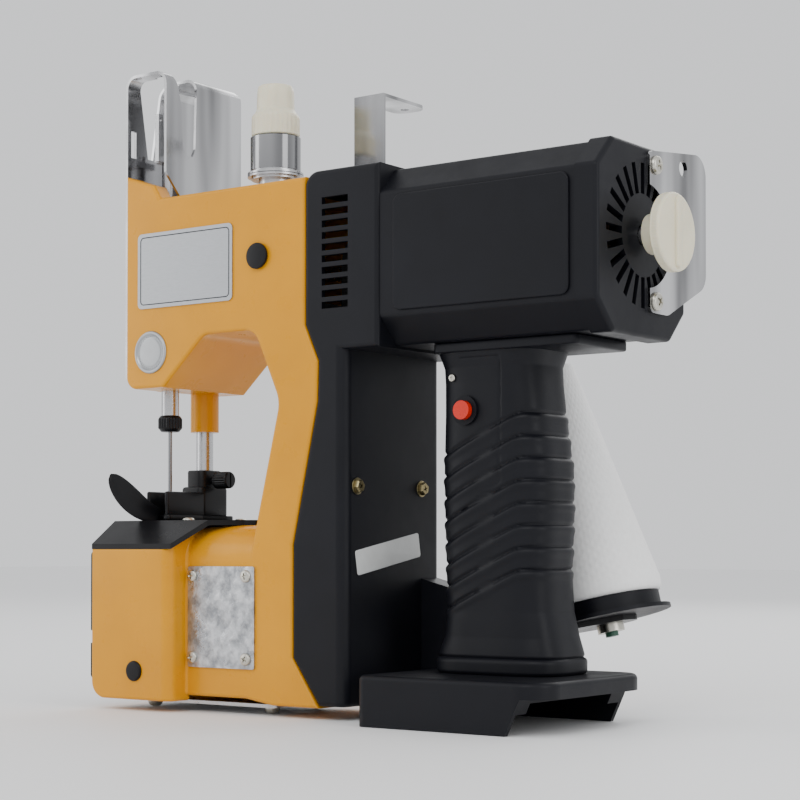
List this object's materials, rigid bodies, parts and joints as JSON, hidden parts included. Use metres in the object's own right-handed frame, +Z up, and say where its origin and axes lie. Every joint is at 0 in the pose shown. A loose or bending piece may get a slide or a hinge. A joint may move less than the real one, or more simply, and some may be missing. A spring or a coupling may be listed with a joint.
{
  "type": "bag closer sewing machine",
  "caption": "Portable bag closing sewing machine: C-shaped casting with needle and presser foot, motor with pistol grip, thread cone behind and a standing foot.",
  "frame": {"origin": "middle of the footprint, on the surface that the machine stands on", "axes": "+Z up, +X lengthwise from the sewing head to the hand knob, +Y across from the name plate side to the thread cone side"},
  "size_m": [0.2924, 0.142, 0.305],
  "materials": {
    "yellow_paint": "glossy amber enamel on a casting",
    "black_plastic": "blue-black moulded plastic, satin",
    "dark_metal": "blackened steel",
    "chrome": "polished plate",
    "steel": "bright ground steel",
    "zinc": "zinc plated fastener",
    "silver_plate": "brushed sheet with blank face",
    "cream_plastic": "cream moulded plastic",
    "red_plastic": "red-orange button cap",
    "bronze": "sintered bronze",
    "winding": "laminations and windings, one density stands for both",
    "belt_rubber": "toothed rubber belt",
    "thread": "cross-wound white polyester thread",
    "core_plastic": "dark green cone core"
  },
  "bodies": {
    "machine": {"arm_frame": "yellow_paint", "bar_bushes": "yellow_paint", "take_up_cover": "chrome", "name_plate": "silver_plate", "blind_plugs": "dark_metal", "bed_front_cover": "dark_metal", "bed_side_plate": "silver_plate", "bed_screws": "zinc", "bottom_plate": "steel", "bottom_screws": "zinc", "throat_plate": "dark_metal", "belt_cover": "black_plastic", "cover_bolts": "zinc", "motor_housing": "black_plastic", "end_cap": "black_plastic", "stator": "winding", "brush_holders": "bronze", "motor_bearings": "steel", "hanger_plate": "chrome", "frame_screws": "zinc", "thread_guide": "chrome", "grip": "black_plastic", "switch_body": "black_plastic", "standing_foot": "black_plastic", "spool_bracket": "dark_metal", "spool_cup": "black_plastic", "spool_nut": "zinc", "spool_spindle": "core_plastic", "tension_post": "steel", "tension_discs": "steel", "tension_barrel": "chrome", "tension_spring": "steel", "shaft_bearings": "bronze", "drive_belt": "belt_rubber", "timing_belt": "belt_rubber"},
    "rotor": {"motor_shaft": "steel", "motor_pulley": "steel", "armature": "winding", "cooling_fan": "black_plastic", "hand_knob": "cream_plastic"},
    "lower_drive": {"lower_shaft": "steel", "lower_pulleys": "steel"},
    "upper_drive": {"upper_shaft": "steel", "upper_pulley": "steel", "crank_disc": "steel"},
    "needle_unit": {"needle_bar": "steel", "needle_clamp": "dark_metal", "needle": "chrome", "crank_block": "steel", "take_up_lever": "steel"},
    "presser_unit": {"presser_bar": "steel", "presser_foot": "dark_metal", "foot_thumb_screw": "dark_metal", "presser_spring": "steel"},
    "feed": {"feed_dog": "steel"},
    "looper_arm": {"looper": "steel"},
    "trigger": {"trigger_button": "red_plastic"},
    "tension_dial": {"tension_knob": "cream_plastic"},
    "cone": {"cone_core": "core_plastic", "thread_cone": "thread"}
  },
  "joints": [
    {"name": "motor_spin", "type": "hinge", "parent": "machine", "child": "rotor", "pos_m": [0.12775, -0.0195, 0.207], "axis": [1, 0, 0], "continuous": true},
    {"name": "lower_shaft_spin", "type": "hinge", "parent": "machine", "child": "lower_drive", "pos_m": [-0.03425, -0.027, 0.04], "axis": [1, 0, 0], "continuous": true},
    {"name": "upper_shaft_spin", "type": "hinge", "parent": "machine", "child": "upper_drive", "pos_m": [-0.07425, -0.027, 0.205], "axis": [1, 0, 0], "continuous": true},
    {"name": "needle_stroke", "type": "slide", "parent": "machine", "child": "needle_unit", "axis": [0, 0, 1], "range_m": [-0.02, 0.01]},
    {"name": "presser_lift", "type": "slide", "parent": "machine", "child": "presser_unit", "axis": [0, 0, 1], "range_m": [0, 0.008], "stiffness_N_per_m": 900, "springref_m": -0.012, "deforming": ["presser_spring"]},
    {"name": "feed_stroke", "type": "slide", "parent": "machine", "child": "feed", "axis": [0, 1, 0], "range_m": [-0.002, 0.002]},
    {"name": "looper_swing", "type": "hinge", "parent": "machine", "child": "looper_arm", "pos_m": [-0.11925, -0.035, 0.052], "axis": [1, 0, 0], "range_deg": [-12, 12]},
    {"name": "trigger_press", "type": "slide", "parent": "machine", "child": "trigger", "axis": [0, 1, 0], "range_m": [0, 0.003], "stiffness_N_per_m": 500, "springref_m": -0.004},
    {"name": "tension_turn", "type": "hinge", "parent": "machine", "child": "tension_dial", "pos_m": [-0.06525, -0.027, 0.285], "axis": [0, 0, 1], "range_deg": [-360, 360]},
    {"name": "cone_turn", "type": "hinge", "parent": "machine", "child": "cone", "pos_m": [0.07375, 0.042, 0.0535], "axis": [-0.2419, 0, 0.9703], "continuous": true}
  ],
  "couplings": [
    {"joint": "lower_shaft_spin", "follows": "motor_spin", "ratio": 0.28},
    {"joint": "upper_shaft_spin", "follows": "motor_spin", "ratio": 0.28}
  ]
}
